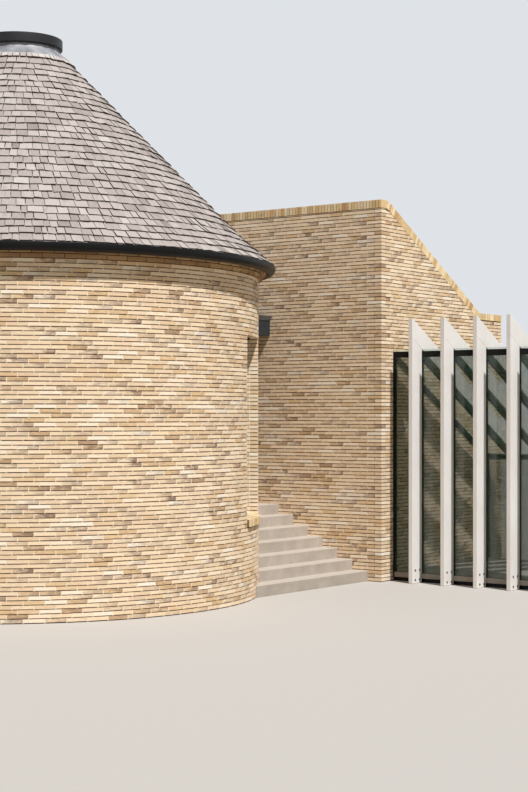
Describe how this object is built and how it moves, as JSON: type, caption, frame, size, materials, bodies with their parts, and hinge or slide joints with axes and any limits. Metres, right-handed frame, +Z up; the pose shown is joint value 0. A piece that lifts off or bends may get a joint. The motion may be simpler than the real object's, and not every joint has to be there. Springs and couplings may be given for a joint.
{
  "type": "pool house",
  "caption": "Brick pool house: a round room with a conical shingled roof, a block with a sloping parapet, steps to a covered porch, and a lean-to glazed link with timber blades.",
  "frame": {"origin": "axis of the round room at ground level, on the underside of its floor", "axes": "+Z up, +X along the block's front wall towards the glazed link, +Y from front to back"},
  "size_m": [10.073, 10.691, 7.0601],
  "materials": {
    "brickwork": "long buff bricks with raked bed joints",
    "coping_brick": "buff bricks on edge",
    "shingle": "weathered silver-grey shingles",
    "gutter_metal": "satin black paint",
    "dark_metal": "satin dark grey paint",
    "lead": "dull lead sheet",
    "pale_timber": "pale grey washed timber",
    "concrete": "smooth cast concrete",
    "glass": "clear double glazing, slightly green"
  },
  "bodies": {
    "root": {"back_coping": "coping_brick", "block_back_wall": "brickwork", "block_floor": "concrete", "block_front_wall_left": "brickwork", "block_front_wall_over_door": "brickwork", "block_front_wall_right": "brickwork", "block_left_wall": "brickwork", "block_right_wall": "brickwork", "block_roof": "dark_metal", "drum_corbel": "brickwork", "drum_floor": "concrete", "drum_gutter": "gutter_metal", "drum_roof": "shingle", "drum_wall_back": "brickwork", "drum_wall_beside_steps": "brickwork", "drum_wall_front": "brickwork", "drum_wall_left": "brickwork", "drum_wall_over_door": "brickwork", "drum_wall_over_window": "brickwork", "drum_wall_right": "brickwork", "drum_wall_under_window": "brickwork", "front_coping": "coping_brick", "landing": "concrete", "link_back_frame": "gutter_metal", "link_floor": "concrete", "link_front_frame": "gutter_metal", "link_posts": "pale_timber", "link_rafters": "pale_timber", "link_roof_bars": "gutter_metal", "link_roof_glass": "glass", "link_wall_glass": "glass", "porch_end_wall": "brickwork", "porch_roof": "dark_metal", "rake_copings": "coping_brick", "rooflight_apron": "lead", "rooflight_curb": "dark_metal", "rooflight_glass": "glass", "step_1": "concrete", "step_2": "concrete", "step_3": "concrete", "step_4": "concrete", "step_5": "concrete", "step_6": "concrete", "window_frame": "gutter_metal", "window_glass": "glass", "window_sill": "coping_brick"}
  },
  "joints": []
}
